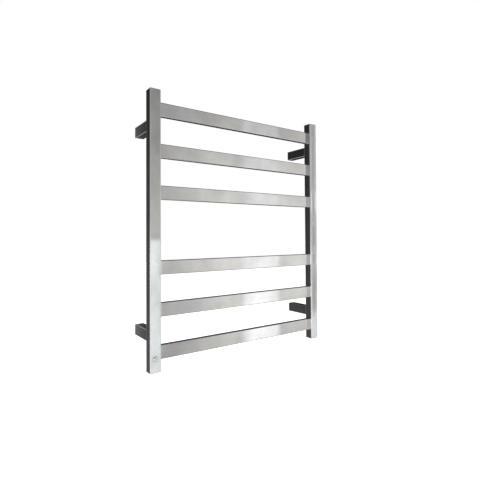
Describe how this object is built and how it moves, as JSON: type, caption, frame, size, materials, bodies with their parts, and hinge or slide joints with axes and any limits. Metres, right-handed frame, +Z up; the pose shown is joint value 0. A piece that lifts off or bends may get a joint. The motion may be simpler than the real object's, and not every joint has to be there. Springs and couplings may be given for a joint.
{
  "type": "towel warmer rack",
  "caption": "Wall-mounted electric towel warmer rack: flat polished steel bars in two groups between square uprights, with square standoffs and a push button.",
  "frame": {"origin": "on the wall plane, at the centre of the rectangle of four wall screws", "axes": "+X to the right seen from the room, +Y from the room into the wall, +Z up"},
  "size_m": [0.6, 0.1273, 0.75],
  "materials": {
    "polished_steel": "mirror-polished stainless steel",
    "zinc_steel": "bright zinc-plated steel",
    "spring_steel": "drawn spring wire",
    "blackened_steel": "black oxide",
    "black_rubber": "matte rubber",
    "light_lens": "translucent moulded lens, unlit",
    "black_plastic": "moulded",
    "brass": "plain machined",
    "red_silicone": "extruded silicone jacket",
    "splice_sleeve": "crimp insulation sleeve",
    "brown_lead": "extruded insulation",
    "blue_lead": "extruded insulation",
    "earth_lead": "extruded insulation, green with a yellow stripe",
    "nylon": "moulded nylon"
  },
  "bodies": {
    "rack": {"left_upright": "polished_steel", "right_upright": "polished_steel", "bar_1": "polished_steel", "bar_2": "polished_steel", "bar_3": "polished_steel", "bar_4": "polished_steel", "bar_5": "polished_steel", "bar_6": "polished_steel", "cap_top_left": "polished_steel", "cap_top_right": "polished_steel", "cap_bottom_left": "polished_steel", "cap_bottom_right": "polished_steel", "standoff_top_left": "polished_steel", "standoff_top_right": "polished_steel", "standoff_bottom_left": "polished_steel", "standoff_bottom_right": "polished_steel", "wall_post_top_left": "zinc_steel", "wall_post_top_right": "zinc_steel", "wall_post_bottom_left": "zinc_steel", "wall_post_bottom_right": "zinc_steel", "standoff_screws": "zinc_steel", "weld_nuts": "zinc_steel", "grub_screws": "blackened_steel", "switch_bezel": "polished_steel", "switch_seal": "black_rubber", "switch_nut": "zinc_steel", "led_ring": "light_lens", "button_spring": "spring_steel", "switch_body": "black_plastic", "switch_tabs": "brass", "heating_cable": "red_silicone", "cable_splice": "splice_sleeve", "return_splice": "splice_sleeve", "thermal_cutout": "black_plastic", "cutout_lead": "brown_lead", "switched_lead": "brown_lead", "live_lead": "brown_lead", "neutral_lead": "blue_lead", "earth_lead": "earth_lead", "terminal_block": "nylon", "terminal_screws": "brass", "earth_stud": "zinc_steel", "earth_terminal": "brass", "earth_nut": "zinc_steel", "cable_grommet": "black_rubber"},
    "button": {"power_button": "polished_steel"}
  },
  "joints": [
    {"name": "button_press", "type": "slide", "parent": "rack", "child": "button", "axis": [0, 1, 0], "range_m": [0, 0.0015], "stiffness_N_per_m": 400, "springref_m": -0.002, "deforming": ["button_spring"]}
  ]
}
